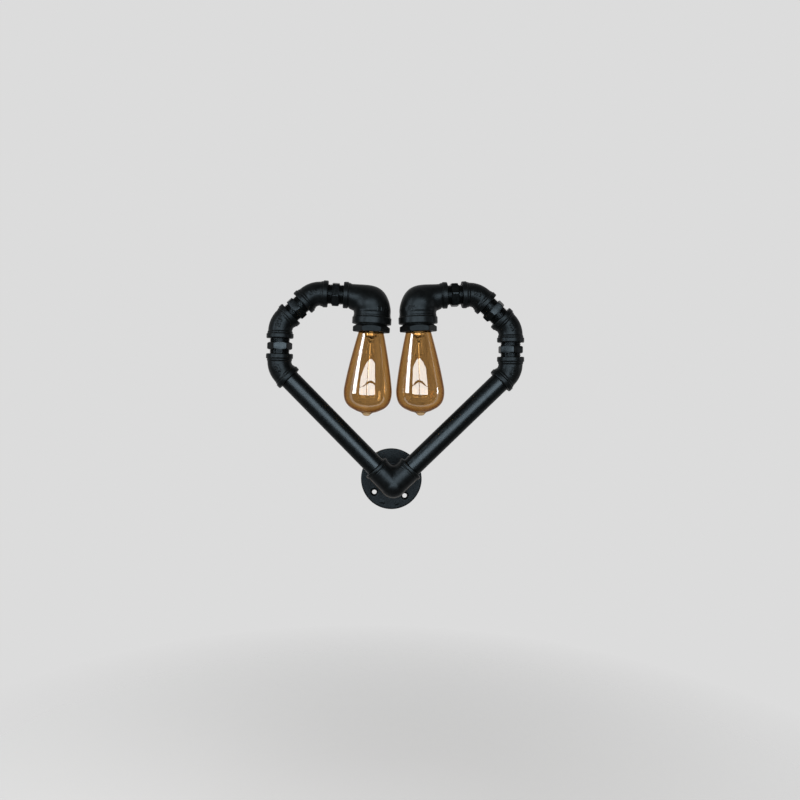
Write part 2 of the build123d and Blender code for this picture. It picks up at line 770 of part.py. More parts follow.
def build_side(name, side):
    """Every piece of one half of the heart."""
    points = route(name)
    save(f"{name}_arm_pipe", arm_pipe(side))

    elbow = elbow_45()
    for k, level in enumerate(("lower", "middle", "upper")):
        plane = place(side, points[k + 1], HEADINGS[k], HEADINGS[k] + 90)
        save(f"{name}_{level}_elbow", plane * elbow)

    end_reaches = (ELBOW_REACH, ELBOW_REACH, SMALL_REACH)
    for k, level in enumerate(("lower", "middle", "upper")):
        shown = RUNS[name][k + 1] - ELBOW_REACH - end_reaches[k]
        middle = along(points[k + 1], HEADINGS[k + 1], ELBOW_REACH + shown / 2)
        plane = place(side, middle, HEADINGS[k + 1], HEADINGS[k + 1] + 90)
        save(f"{name}_{level}_nipple", plane * hex_nipple(shown, HEX_TURNS[name][k]))

    lamp = place(side, points[4], OUTLET_HEADING + 180, OUTLET_HEADING + 90)
    save(f"{name}_reducing_elbow", lamp * reducing_elbow())
    save(f"{name}_lamp_ring", lamp * lamp_ring())
    save(f"{name}_lampholder_body", lamp * lampholder_body())
    save(f"{name}_lampholder_shell", lamp * lampholder_shell())
    save(f"{name}_lampholder_contact", lamp * lampholder_contact())
    save(f"{name}_terminals", moved(lamp, terminals()))
    save(f"{name}_lead_sheath", lead_sheath(side, points))
    save(f"{name}_lead_cores", moved(lamp, lead_cores()))

    ring_bottom = along(points[4], OUTLET_HEADING, LARGE_REACH + RING_SHOWN)
    bulb = place(side, ring_bottom, OUTLET_HEADING + 180, OUTLET_HEADING + 90)
    save(f"{name}_bulb_glass", bulb * bulb_glass())
    save(f"{name}_bulb_cap", bulb * bulb_cap())
    save(f"{name}_bulb_insulator", bulb * bulb_insulator())
    save(f"{name}_bulb_contact", bulb * bulb_contact())
    save(f"{name}_bulb_stem", bulb * bulb_stem())
    save(f"{name}_bulb_supports", moved(bulb, bulb_supports()))
    save(f"{name}_bulb_filament", bulb * bulb_filament())


def main():
    os.makedirs("parts", exist_ok=True)
    save("wall_flange", wall_flange())
    save("flange_nipple", flange_nipple())
    save("corner_elbow", corner_elbow())
    for name, side in (("left", -1), ("right", 1)):
        build_side(name, side)


if __name__ == "__main__":
    main()
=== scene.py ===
import math

import bpy
from mathutils import Matrix, Vector


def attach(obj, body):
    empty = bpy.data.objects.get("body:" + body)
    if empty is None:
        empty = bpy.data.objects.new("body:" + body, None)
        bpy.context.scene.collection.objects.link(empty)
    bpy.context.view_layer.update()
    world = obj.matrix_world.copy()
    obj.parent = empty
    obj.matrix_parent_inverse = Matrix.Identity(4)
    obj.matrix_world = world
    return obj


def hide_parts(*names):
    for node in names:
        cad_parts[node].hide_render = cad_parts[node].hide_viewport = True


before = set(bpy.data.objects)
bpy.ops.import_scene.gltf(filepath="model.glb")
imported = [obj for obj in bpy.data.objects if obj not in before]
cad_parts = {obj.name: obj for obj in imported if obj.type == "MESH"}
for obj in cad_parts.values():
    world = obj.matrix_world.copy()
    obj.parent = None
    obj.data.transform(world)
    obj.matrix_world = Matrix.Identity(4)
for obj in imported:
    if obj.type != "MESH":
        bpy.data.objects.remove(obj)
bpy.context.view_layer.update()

bl_info = {
    "name": "Heart-shaped pipe wall light",
    "version": (1, 0, 0),
    "blender": (4, 5, 0),
    "location": "3D View > Sidebar > Pipe light",
    "description": "Cast fittings, hexagon nipples, filament bulbs and the stage of a pipe wall light",
    "category": "Object",
}

MM = 0.001
SIDES = {"left": -1, "right": 1}

# Route of the pipes, as in the part's source, in millimetres and degrees.
ARM_DEPTH = 66.0
ARM_RISE = 44.76
ELBOW_TURN = 45.9
RUNS = {"left": (215.0, 59.3, 59.1, 79.2), "right": (215.0, 58.0, 63.0, 78.0)}
HEADINGS = [ARM_RISE + ELBOW_TURN * k for k in range(4)]
LEVELS = ("lower", "middle", "upper")

# Reach of each elbow from its axes' meeting point to a mouth, and what shows of the lamp ring.
ELBOW_REACH = 19.5
CORNER_REACH = 33.0
SMALL_REACH = 39.3
LARGE_REACH = 36.8
RING_SHOWN = 10.4

# Grooves behind the beads: radius of the groove's ring and its distance back from the mouth's face.
ELBOW_GROOVE = (17.25, 7.2)
SMALL_GROOVE = (17.0, 7.2)
LARGE_GROOVE = (25.2, 9.9)
CORNER_GROOVE = (17.2, 5.4)

# Parting lines: half their width, and their height on the corner elbow.
PARTING_SPREAD = 1.3
CORNER_PARTING = 0.7

# Saddle between the corner elbow's arms: its height, how far it reaches and how often it is smoothed.
CROTCH_HEIGHT = 24.0
SADDLE_REACH = 17.0
SADDLE_TURNS = 160

# Raised sizes: what widens their strokes, their place and share on large elbows, and those of the flange.
MARK_SPREAD = 0.15
LARGE_MARK = (12.0, -17.5)
LARGE_MARK_SHARE = 0.85
FLANGE_MARKS = (("3/4", -111), ("20", -77))
FLANGE_MARK_R = 34.6
FLANGE_MARK_SIZE = 5.2

# Pipes, threads and hexagons; a thread's flats and flanks are shares of its pitch.
PIPE_R = 13.35
PIPE_BORE_R = 10.8
NIPPLE_BORE_R = 9.8
THREAD_R = 13.2
THREAD_IN = 12.75
THREAD_PITCH = 1.814
THREAD_FLAT = 0.12
THREAD_FLANK = 0.38
HEX_LENGTH = 9.5
HEX_FLATS = 29.0
HEX_CORNER_R = 16.5
HEX_DRESS = (2.0, 1.2)
HEX_EDGE = 0.3
HEX_TURNS = {"left": (38.2, 12.2, 12.1), "right": (1.2, 38.8, 2.9)}
OVERLAP = 1.0
ROUND_STEPS = 96
SCREW_STEPS = 64

# Side of the bulb's glass: radius and depth below the ring.
GLASS_LINE = (
    (13.3, -6.9), (16.5, 0.0), (21.0, 18.5), (26.1, 42.2), (30.3, 66.0),
    (31.75, 80.0), (29.6, 91.5), (23.6, 99.2), (14.0, 104.3), (9.6, 105.7),
)
NUB_LINE = ((9.6, 105.7), (6.9, 106.8), (5.4, 108.2), (4.1, 109.6), (2.2, 110.4), (0.0, 110.6))

# The glass's neck inside the cap: outer and inner radius, depths of its end and its shoulder.
NECK_R = 12.8
NECK_BORE_R = 11.9
NECK_END = -20.0
NECK_SHOULDER = -7.4

# Lines of the stem, of radius and height, with their parts: flare, bell and tube, taper, rod and button.
BELL_LINE = (
    (11.9, 10.8), (10.2, 6.0), (8.8, 1.0), (8.4, -2.4), (8.3, -5.0), (6.6, -6.6), (3.8, -7.6), (3.3, -10.0),
)
STEM_LINES = (
    (((0, 4.4), (2.6, 6.2), (7.0, 9.4), (11.9, 12.0)), 4),
    (BELL_LINE, 4),
    (((2.6, -11.8), (1.7, -13.4), (1.4, -15.0)), 3),
    (((1.3, -81.0), (2.2, -82.2), (2.8, -83.9), (2.1, -85.6), (0, -86.2)), 4),
)

# Depths between which the stem's collar is silvered, and below which its rod is.
SILVER_BAND = (2.0, 5.4)
SILVER_ROD = 13.5

# Rings of hooks: depth, radius, place of the first in steps, and which way its end turns.
HOOK_COUNT = 5
HOOK_STEP = 360 // HOOK_COUNT
UPPER_HOOKS = (30.0, 5.4, 0.0, 1)
LOWER_HOOKS = (83.0, 7.6, 0.5, -1)
HOOK_WIRE_R = 0.5
LEAD_WIRE_R = 0.3
LEAD_TURNS = (-10, 190)
LEAD_LINE = ((2.0, 2.0), (2.1, -6.0), (2.3, -12.0), (3.6, -18.0), (5.0, -26.5), (5.4, -29.4))

# The cap's thread, the heights it is cut off at, and the lines of its skirt and crown.
CAP_R = 13.1
CAP_DEPTH = 1.15
CAP_PITCH = 3.629
CAP_WAVE_STEPS = 12
CAP_START = 2.0
CAP_TURNS = 7
CAP_THREAD = (9.6, 25.6)
CAP_WALL = 0.3
SKIRT_LINE = ((12.8, 7.4), (13.1, 7.4), (13.1, 9.9), (12.8, 9.9), (12.8, 7.4))
CROWN_LINE = (
    (12.0, 25.3), (12.7, 25.6), (12.6, 26.8), (11.7, 28.0), (9.6, 28.6),
    (9.6, 28.3), (11.5, 27.6), (12.0, 26.4), (12.0, 25.3),
)

# How far a wall turns from the eye, from 0 to 1, where each look fades into the next.
PAINT_FADE = (0.03, 0.25)
COAT_FADE = (0.22, 0.42)
AMBER_FADE = (0.42, 0.72)
RIM_FADE = (0.70, 0.80)

# Stage, in metres. The window's rows are height and tallness, its columns places across.
FLOOR_R = 0.9
AIM = (0.0, -0.066, 0.15)
WINDOW_AWAY = -1.95
WINDOW_ROWS = ((0.235, 0.93), (0.885, 0.30))
WINDOW_COLUMNS = (-0.99, 0.51)
PANE_WIDTH = 1.40
TENT_AT = (0, -1.4, 0.3)
TENT_SIZE = (5.0, 2.0, 4.4)
CAMERA_AT = (-0.0458, -1.066, 0.1366)
CAMERA_LENS = 34.1
CAMERA_SHIFT = (0.05, -0.024)


# ---------------- places


def step(point, heading, run):
    """A point moved by a run along a heading in degrees."""
    angle = math.radians(heading)
    return point[0] + run * math.cos(angle), point[1] + run * math.sin(angle)


def route(name):
    """Corner points of one side's pipe axis, from the corner elbow to the lamp outlet."""
    points = [(0.0, 0.0)]
    for heading, run in zip(HEADINGS, RUNS[name]):
        points.append(step(points[-1], heading, run))
    return points


def place(name, point, heading, towards):
    """Matrix of a piece: local Z along the heading, local X along the second one."""
    side = SIDES[name]
    origin = Vector((side * point[0], -ARM_DEPTH, point[1])) * MM
    angles = (math.radians(towards), math.radians(heading))
    x_axis, z_axis = (Vector((side * math.cos(angle), 0, math.sin(angle))) for angle in angles)
    matrix = Matrix((x_axis, z_axis.cross(x_axis), z_axis)).transposed().to_4x4()
    matrix.translation = origin
    return matrix


def elbow_place(name, k):
    """Place of a side's k-th elbow, on its corner point."""
    return place(name, route(name)[k + 1], HEADINGS[k], HEADINGS[k] + 90)


def nipple_shown(name, k):
    """Length of a nipple that shows between its two sockets."""
    return RUNS[name][k + 1] - ELBOW_REACH - (ELBOW_REACH, ELBOW_REACH, SMALL_REACH)[k]


def nipple_place(name, k):
    """Place of the middle of a side's k-th nipple."""
    reach = ELBOW_REACH + nipple_shown(name, k) / 2
    middle = step(route(name)[k + 1], HEADINGS[k + 1], reach)
    return place(name, middle, HEADINGS[k + 1], HEADINGS[k + 1] + 90)


def lamp_place(name, depth=0.0):
    """The lamp's axes, moved down the outlet by a depth."""
    outlet = HEADINGS[3] + 90
    return place(name, step(route(name)[4], outlet, depth), outlet + 180, outlet + 90)


# ---------------- working by hand


def activate(obj):
    bpy.ops.object.select_all(action="DESELECT")
    obj.select_set(True)
    bpy.context.view_layer.objects.active = obj


def edit(obj):
    """Into edit mode, with everything selected."""
    activate(obj)
    bpy.ops.object.mode_set(mode="EDIT")
    bpy.ops.mesh.select_all(action="SELECT")


def leave_edit():
    bpy.ops.object.mode_set(mode="OBJECT")


def tidy(obj, reach=0.002 * MM):
    """Doubles merged, faces outwards."""
    edit(obj)
    bpy.ops.mesh.remove_doubles(threshold=reach)
    bpy.ops.mesh.normals_make_consistent(inside=False)
    leave_edit()


def modify(obj, kind, **settings):
    """A modifier with these settings is applied."""
    modifier = obj.modifiers.new(kind.title(), kind)
    for key, value in settings.items():
        setattr(modifier, key, value)
    activate(obj)
    bpy.ops.object.modifier_apply(modifier=modifier.name)


def join(name, parts):
    """The parts become one object, under a name."""
    bpy.ops.object.select_all(action="DESELECT")
    for part in parts:
        part.select_set(True)
    bpy.context.view_layer.objects.active = parts[0]
    bpy.ops.object.join()
    parts[0].name = name
    return parts[0]


def settle(obj):
    """The object's place goes into its mesh."""
    activate(obj)
    bpy.ops.object.transform_apply(location=True, rotation=True, scale=True)


def remove(obj):
    bpy.data.objects.remove(obj)


def added(name, data):
    """A new object in the scene."""
    obj = bpy.data.objects.new(name, data)
    bpy.context.scene.collection.objects.link(obj)
    return obj


def put(model, name, matrix, material, body, slot, *nodes):
    """A copy of a model, with its own mesh, at its place on a body."""
    piece = added(name, model.data.copy())
    piece.data.transform(matrix)
    piece.data.materials.clear()
    piece.data.materials.append(material)
    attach(piece, body)
    if nodes:
        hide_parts(*nodes)
    return piece


def from_node(node, matrix):
    """The merged copy of a CAD node's mesh, in the piece's own axes."""
    model = added("model_" + node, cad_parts[node].data.copy())
    model.data.transform(matrix.inverted())
    model.data.materials.clear()
    edit(model)
    bpy.ops.mesh.remove_doubles(threshold=0.004 * MM)
    leave_edit()
    return model


def smooth_line(points, parts):
    """Points on a smooth line through the given ones."""
    line = []
    last = len(points) - 1
    for k in range(last):
        before, start, end, after = (Vector(points[min(max(j, 0), last)]) for j in (k - 1, k, k + 1, k + 2))
        square = 2 * before - 5 * start + 4 * end - after
        cube = 3 * start - before - 3 * end + after
        for n in range(parts):
            t = n / parts
            line.append(0.5 * (2 * start + (end - before) * t + square * t * t + cube * t * t * t))
    line.append(Vector(points[-1]))
    return line


def lone_point(name, location=(0, 0, 0)):
    """A mesh of one vertex in edit mode, from which a line is drawn."""
    bpy.ops.mesh.primitive_plane_add(size=MM, location=location)
    obj = bpy.context.object
    obj.name = name
    bpy.ops.object.mode_set(mode="EDIT")
    bpy.ops.mesh.merge(type="CENTER")
    return obj


def draw_on(outwards, up):
    """The line's end is drawn on by a move in millimetres."""
    bpy.ops.mesh.extrude_region_move(TRANSFORM_OT_translate={"value": (outwards * MM, 0, up * MM)})


def wind(obj, pitch, turns):
    """The drawn line is wound up about Z."""
    modify(obj, "SCREW", axis="Z", screw_offset=pitch * MM, steps=SCREW_STEPS, render_steps=SCREW_STEPS,
           iterations=turns, use_merge_vertices=True, merge_threshold=0.001 * MM)


def cut_off(low, high, fill):
    """In edit mode, what lies past two heights in millimetres is cut off."""
    for height, way in ((high, 1), (low, -1)):
        at, out = (0, 0, height * MM), (0, 0, way)
        bpy.ops.mesh.select_all(action="SELECT")
        bpy.ops.mesh.bisect(plane_co=at, plane_no=out, use_fill=fill, clear_outer=True)


def spun(name, outline, steps=ROUND_STEPS):
    """The outline, of (radius, height) points in millimetres, is drawn and spun about Z."""
    radius, height = outline[0]
    obj = lone_point(name, (radius * MM, 0, height * MM))
    for before, after in zip(outline, outline[1:]):
        draw_on(after[0] - before[0], after[1] - before[1])
    bpy.ops.mesh.select_all(action="SELECT")
    bpy.ops.mesh.spin(steps=steps, angle=2 * math.pi, center=(0, 0, 0), axis=(0, 0, 1))
    leave_edit()
    settle(obj)
    tidy(obj)
    return obj


def wire(name, points, radius):
    """Round wire along a smooth line, in millimetres."""
    data = bpy.data.curves.new(name, "CURVE")
    data.dimensions = "3D"
    data.bevel_depth = radius * MM
    data.bevel_resolution = 2
    data.resolution_u = 4
    data.use_fill_caps = True
    line = data.splines.new("NURBS")
    line.points.add(len(points) - 1)
    for point, spot in zip(line.points, points):
        point.co = (*(Vector(spot) * MM), 1)
    line.order_u = 3
    line.use_endpoint_u = True
    activate(added(name, data))
    bpy.ops.object.convert(target="MESH")
    return bpy.context.object


# ---------------- finishes


class Finish:
    """A material under way: its nodes, its shader and short ways to add to them."""

    def __init__(self, name):
        self.material = bpy.data.materials.new(name)
        self.material.use_nodes = True
        self.nodes = self.material.node_tree.nodes
        self.links = self.material.node_tree.links
        self.shader = self.nodes["Principled BSDF"]
        self.place = self.nodes.new("ShaderNodeTexCoord").outputs["Object"]

    def set(self, **values):
        """Constants on the shader's own sockets."""
        for key, value in values.items():
            self.shader.inputs[key.replace("_", " ")].default_value = value

    def feed(self, socket, value):
        """A socket is linked to an output, or set to a number, a vector or an opaque colour."""
        if isinstance(value, bpy.types.NodeSocket):
            self.links.new(value, socket)
        else:
            socket.default_value = (*value, 1) if socket.type == "RGBA" else value

    def add(self, kind, **inputs):
        """A node and what goes into its sockets, their names written with underscores."""
        node = self.nodes.new("ShaderNode" + kind)
        for key, value in inputs.items():
            self.feed(node.inputs[key.replace("_", " ")], value)
        return node

    def noise(self, scale, detail=2.0, roughness=0.5, stretch=None):
        where = self.place
        if stretch:
            where = self.add("Mapping", Vector=where, Scale=stretch).outputs["Vector"]
        node = self.add("TexNoise", Vector=where, Scale=scale, Detail=detail, Roughness=roughness)
        return node.outputs["Fac"]

    def ramp(self, fac, *stops):
        node = self.add("ValToRGB", Fac=fac)
        elements = node.color_ramp.elements
        while len(elements) < len(stops):
            elements.new(0.5)
        for element, (position, colour) in zip(elements, stops):
            element.position = position
            element.color = (*colour, 1)
        return node.outputs["Color"]

    def range(self, fac, low, high, to_low, to_high):
        node = self.add("MapRange", Value=fac, From_Min=low, From_Max=high, To_Min=to_low, To_Max=to_high)
        return node.outputs["Result"]

    def split(self, vector):
        return self.add("SeparateXYZ", Vector=vector).outputs

    def maths(self, operation, a, b):
        node = self.add("Math")
        node.operation = operation
        for socket, value in zip(node.inputs, (a, b)):
            self.feed(socket, value)
        return node.outputs["Value"]

    def mix(self, fac, a, b):
        node = self.add("Mix", Factor=fac)
        node.data_type = "RGBA"
        for key, value in (("A", a), ("B", b)):
            self.feed([s for s in node.inputs if s.name == key and s.type == "RGBA"][0], value)
        return [s for s in node.outputs if s.type == "RGBA"][0]

    def bump(self, height, strength, distance, under=None):
        node = self.add("Bump", Height=height, Strength=strength, Distance=distance)
        if under:
            self.links.new(under, node.inputs["Normal"])
        self.to("Normal", node.outputs["Normal"])
        return node.outputs["Normal"]

    def to(self, socket, output):
        self.links.new(output, self.shader.inputs[socket])

    def turned(self):
        """How far the surface is turned from the eye: 0 where it faces it, 1 at the rim."""
        return self.add("LayerWeight").outputs["Facing"]

    def geometry(self, key):
        return self.add("NewGeometry").outputs[key]


def black_paint(f, settings, mottle, lift, roughness, gloss):
    """Satin black that keeps its sheen where it faces the eye and goes dark at the rims.

    The sheen is tinted cool, as of a window's light. The mottled colour is handed back.
    """
    dark = tuple(settings.paint)
    base = f.ramp(f.noise(mottle, 4, 0.6), (0.35, dark), (0.70, tuple(c * lift for c in dark)))
    f.to("Roughness", f.range(f.noise(240, 3), 0.3, 0.7, roughness - 0.04, roughness + 0.07))
    f.to("Specular IOR Level", f.range(f.turned(), *PAINT_FADE, gloss, settings.rim_gloss))
    f.set(Specular_Tint=(0.64, 0.84, 1.0, 1))
    return base


def cast_paint(name, settings, grain, depth, share=1.0, rust=False):
    """Black paint on sand-cast iron: grain, slow waves, a brown wear on high edges.

    Grain and depth are the sand's, share is that of the gloss. With rust, the brown
    lies less on the edges and more along the parting line, on its underside only: partly wear there,
    partly a painted warm reflection from below.
    """
    f = Finish(name)
    base = black_paint(f, settings, 160, 1.9, settings.roughness, settings.gloss * share)
    patches = f.range(f.noise(90, 3), 0.45, 0.62, 0, 1)
    rub = 0.2 if rust else 0.55
    wear_and_warm_reflection = f.maths("MULTIPLY", f.range(f.geometry("Pointiness"), 0.53, 0.60, 0.0, rub), patches)
    if rust:
        # Brown along the parting line, only on faces turned downwards: partly wear, partly a painted warm
        # reflection from below.
        off = f.maths("ABSOLUTE", f.maths("ADD", f.split(f.place)["Y"], ARM_DEPTH * MM), 0)
        line = f.range(off, 1.2 * MM, 4.5 * MM, 1, 0)
        down = f.range(f.split(f.geometry("Normal"))["Z"], -0.45, -0.15, 1, 0)
        line = f.maths("MULTIPLY", line, down)
        line = f.maths("MULTIPLY", line, f.range(f.noise(260, 3), 0.35, 0.6, 0.35, 1))
        wear_and_warm_reflection = f.maths("MAXIMUM", wear_and_warm_reflection, line)
    f.to("Base Color", f.mix(wear_and_warm_reflection, base, (0.050, 0.029, 0.012)))
    normal = f.bump(f.noise(110, 2), 0.35, 0.5 * MM)
    f.bump(f.noise(grain, 3, 0.65), depth, 0.16 * MM, normal)
    return f.material


def pipe_paint(name, settings):
    """Smooth satin black paint on drawn pipe, with slight waves and a fine grain."""
    f = Finish(name)
    f.to("Base Color", black_paint(f, settings, 60, 1.5, settings.roughness - 0.06, settings.pipe_gloss))
    normal = f.bump(f.noise(90, 2), 0.2, 0.3 * MM)
    f.bump(f.noise(1400, 2), 0.25, 0.05 * MM, normal)
    return f.material


def amber_glass(name, settings):
    """Thin amber glass, deeper in colour where the eye looks along the wall.

    Its outer skin is a coat that mirrors where the wall faces the eye, and is off inside the wall.
    """
    f = Finish(name)
    tint, rim = tuple(settings.amber), tuple(settings.amber_rim)
    streaks = f.noise(1, stretch=(95, 95, 9))
    darker, lighter = tuple(c * 0.86 for c in tint), tuple(min(c * 1.08, 1) for c in tint)
    even = f.ramp(streaks, (0.35, darker), (0.62, lighter))
    turned = f.turned()
    deeper = f.mix(f.range(turned, *AMBER_FADE, 0, 1), even, rim)
    f.to("Base Color", f.mix(f.range(turned, *RIM_FADE, 0, 1), deeper, tuple(c * c * 0.8 for c in rim)))
    f.set(Transmission_Weight=1.0, Roughness=0.0, IOR=settings.bend)
    f.set(Coat_IOR=settings.sheen, Coat_Roughness=0.01)
    outside = f.range(f.geometry("Backfacing"), 0, 1, 1, 0)
    f.to("Coat Weight", f.maths("MULTIPLY", f.range(turned, *COAT_FADE, 1, 0), outside))
    f.bump(f.noise(45, 2), 0.3, 0.15 * MM)
    return f.material


def clear_glass(name):
    """Clear glass of the stem; the mesh attribute "silver" turns it to a mirror where it is silvered."""
    f = Finish(name)
    f.to("Base Color", f.ramp(f.noise(120, 2), (0.3, (0.93, 0.95, 0.93)), (0.7, (0.98, 0.98, 0.97))))
    silver = f.add("Attribute")
    silver.attribute_name = "silver"
    f.to("Metallic", silver.outputs["Fac"])
    f.to("Transmission Weight", f.range(silver.outputs["Fac"], 0, 1, 0.85, 0))
    f.set(Roughness=0.04, IOR=1.5)
    return f.material


def metal(name, dark, light, roughness, scale):
    """Plain metal with fine drawn or pressed marks."""
    f = Finish(name)
    f.to("Base Color", f.ramp(f.noise(scale, 3), (0.3, dark), (0.7, light)))
    f.to("Roughness", f.range(f.noise(scale * 2, 3), 0.3, 0.7, roughness - 0.06, roughness + 0.08))
    f.set(Metallic=1.0)
    f.bump(f.noise(scale * 6, 2), 0.2, 0.03 * MM)
    return f.material


def plain(name, dark, light, roughness, scale, bump=0.2):
    """Porcelain, black glass or plastic: slight mottle, fine unevenness."""
    f = Finish(name)
    f.to("Base Color", f.ramp(f.noise(scale, 3), (0.3, dark), (0.7, light)))
    f.to("Roughness", f.range(f.noise(scale * 3, 2), 0.3, 0.7, roughness - 0.04, roughness + 0.06))
    f.bump(f.noise(scale * 5, 2), bump, 0.05 * MM)
    return f.material


# Finishes of two tones: maker, tones, roughness, scale of the mottle and, where given, unevenness.
TONES = {
    "brass": (metal, (0.55, 0.38, 0.16), (0.70, 0.50, 0.22), 0.32, 500),
    "solder": (metal, (0.42, 0.42, 0.42), (0.60, 0.60, 0.59), 0.40, 500),
    "support_wire": (metal, (0.75, 0.72, 0.67), (0.92, 0.90, 0.85), 0.13, 900),
    "filament": (metal, (0.28, 0.20, 0.13), (0.42, 0.30, 0.18), 0.45, 900),
    "black_glass": (plain, (0.006, 0.006, 0.008), (0.012, 0.012, 0.014), 0.15, 300),
    "porcelain": (plain, (0.72, 0.70, 0.65), (0.80, 0.79, 0.75), 0.18, 200),
    "sheath_black": (plain, (0.010, 0.010, 0.010), (0.020, 0.020, 0.020), 0.5, 400, 0.4),
    "core_brown": (plain, (0.10, 0.035, 0.012), (0.14, 0.05, 0.018), 0.4, 500),
    "tent_cloth": (plain, (0.010, 0.010, 0.011), (0.016, 0.016, 0.017), 0.9, 3),
}
BRASS_PARTS = ("lampholder_shell", "lampholder_contact", "terminals")
FINISHES = {}


def finish(name, make, *facts, **named):
    """The material of a name, made when it is first asked for."""
    if name not in FINISHES:
        FINISHES[name] = make(name, *facts, **named)
    return FINISHES[name]


def toned(name):
    return finish(name, *TONES[name])


def dress(material, *nodes):
    """CAD nodes that keep their shape get their finish."""
    for node in nodes:
        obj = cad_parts[node]
        if not obj.material_slots:
            obj.data.materials.append(None)
        for slot in obj.material_slots:
            slot.material = material


# ---------------- what a user may change


LENGTH = {"subtype": "DISTANCE", "unit": "LENGTH"}
SHARE = {"subtype": "FACTOR", "min": 0, "max": 1}
COLOUR = {"subtype": "COLOR", "min": 0, "max": 1}


class FittingSettings(bpy.types.PropertyGroup):
    voxel: bpy.props.FloatProperty(
        name="Casting detail", description="Size of the smallest detail kept on a casting",
        default=0.55 * MM, min=0.3 * MM, max=2 * MM, **LENGTH
    )
    softness: bpy.props.IntProperty(
        name="Edge softness", description="How far a casting's edges are rubbed round", default=2,
        min=0, max=20
    )
    mark_height: bpy.props.FloatProperty(
        name="Size mark", description="Height of the raised pipe size on each fitting",
        default=7.6 * MM, **LENGTH
    )
    paint: bpy.props.FloatVectorProperty(
        name="Paint", description="Colour of the black paint", default=(0.0026, 0.0030, 0.0031), **COLOUR
    )
    roughness: bpy.props.FloatProperty(
        name="Paint roughness", description="How matt the paint is", default=0.35, **SHARE
    )
    gloss: bpy.props.FloatProperty(
        name="Casting gloss", description="Strength of a casting's reflection where it faces the eye",
        default=0.28, **SHARE
    )
    pipe_gloss: bpy.props.FloatProperty(
        name="Pipe gloss", description="Strength of a pipe's reflection where it faces the eye",
        default=0.62, **SHARE
    )
    rim_gloss: bpy.props.FloatProperty(
        name="Rim gloss", description="Strength of the paint's reflection at the rims",
        default=0.05, **SHARE
    )
    groove: bpy.props.FloatProperty(
        name="Bead groove", description="Radius of the groove behind each mouth's bead",
        default=1.05 * MM, **LENGTH
    )
    parting: bpy.props.FloatProperty(
        name="Parting line", description="Height of the ridge where the mould's halves met",
        default=0.3 * MM, **LENGTH
    )
    thread_depth: bpy.props.FloatProperty(
        name="Thread depth", description="Depth of the pipe thread", default=1.0 * MM, **LENGTH
    )


class BulbSettings(bpy.types.PropertyGroup):
    wall: bpy.props.FloatProperty(
        name="Glass wall", description="Thickness of the bulb's glass", default=0.9 * MM, **LENGTH
    )
    amber: bpy.props.FloatVectorProperty(
        name="Amber", description="Tint of the bulb's glass", default=(0.62, 0.45, 0.25), **COLOUR
    )
    amber_rim: bpy.props.FloatVectorProperty(
        name="Amber rim", description="Tint where the eye looks along the glass",
        default=(0.38, 0.21, 0.075), **COLOUR
    )
    bend: bpy.props.FloatProperty(
        name="Refraction", description="How much the thin glass bends what is seen through it",
        default=1.05, min=1.0, max=2.0
    )
    sheen: bpy.props.FloatProperty(
        name="Sheen", description="Index of the glass's outer skin, which sets its reflection",
        default=2.5, min=1.0, max=3.0
    )
    filament: bpy.props.FloatProperty(
        name="Filament", description="Radius of the filament wire", default=0.15 * MM, **LENGTH
    )


class StageSettings(bpy.types.PropertyGroup):
    background: bpy.props.FloatVectorProperty(
        name="Background", description="Colour behind the light", default=(0.716, 0.716, 0.716), **COLOUR
    )
    floor: bpy.props.FloatVectorProperty(
        name="Floor", description="Colour of the floor", default=(0.88, 0.88, 0.88), **COLOUR
    )
    floor_height: bpy.props.FloatProperty(
        name="Floor height", description="Height of the floor", default=-0.46, **LENGTH
    )
    fill: bpy.props.FloatProperty(
        name="Fill", description="Strength of the light from all round", default=0.30, min=0
    )
    window: bpy.props.FloatProperty(
        name="Window", description="Power of the window's four panes together",
        default=39.68, min=0, unit="POWER"
    )
    roll: bpy.props.FloatProperty(
        name="Camera roll", description="Turn of the camera about its own axis", default=math.radians(-0.8),
        subtype="ANGLE", unit="ROTATION"
    )


# ---------------- castings


def raised_mark(model, text, height, matrix, lift=0.6):
    """A raised size: text in front of the model is laid onto it, against its own Z, and thickened.

    The height is in metres, the lift in millimetres.
    """
    bpy.ops.object.text_add()
    mark = bpy.context.object
    mark.data.body = text
    mark.data.size = height
    mark.data.offset = MARK_SPREAD * MM
    mark.data.align_x = "CENTER"
    mark.data.align_y = "CENTER"
    mark.data.resolution_u = 3
    bpy.ops.object.convert(target="MESH")
    mark = bpy.context.object
    tidy(mark, 0.01 * MM)
    mark.matrix_world = matrix
    bpy.context.view_layer.update()
    modify(mark, "SHRINKWRAP", target=model, wrap_method="PROJECT", use_project_z=True,
           use_negative_direction=True, use_positive_direction=False)
    modify(mark, "SOLIDIFY", thickness=2 * lift * MM, offset=0.0)
    settle(mark)
    return mark


def in_front(x, z, turn=0.0, away=40.0):
    """Place of text in front of a piece, away along -Y, turned about Y; its normal is -Y."""
    return Matrix.Translation((x * MM, -away * MM, z * MM)) @ leg(turn) @ leg(90, 0, "X")


def ring_tool(radius, thick, matrix):
    """Closed round ring that cuts a groove; both radii are in metres."""
    bpy.ops.mesh.primitive_torus_add(
        major_radius=radius, minor_radius=thick, major_segments=ROUND_STEPS, minor_segments=16
    )
    ring = bpy.context.object
    ring.data.transform(matrix)
    return ring


def combine(model, operation, tool):
    """A boolean of two closed meshes; the tool goes."""
    modify(model, "BOOLEAN", operation=operation, object=tool, solver="EXACT")
    remove(tool)


def modify_near(model, kind, weight, **settings):
    """A modifier works where the weight, a function of a vertex's place, is above zero."""
    group = model.vertex_groups.new(name="near")
    for vertex in model.data.vertices:
        near = weight(vertex.co)
        if near > 0:
            group.add([vertex.index], min(near, 1), "REPLACE")
    modify(model, kind, vertex_group="near", **settings)
    bpy.ops.object.vertex_group_remove(all=True)


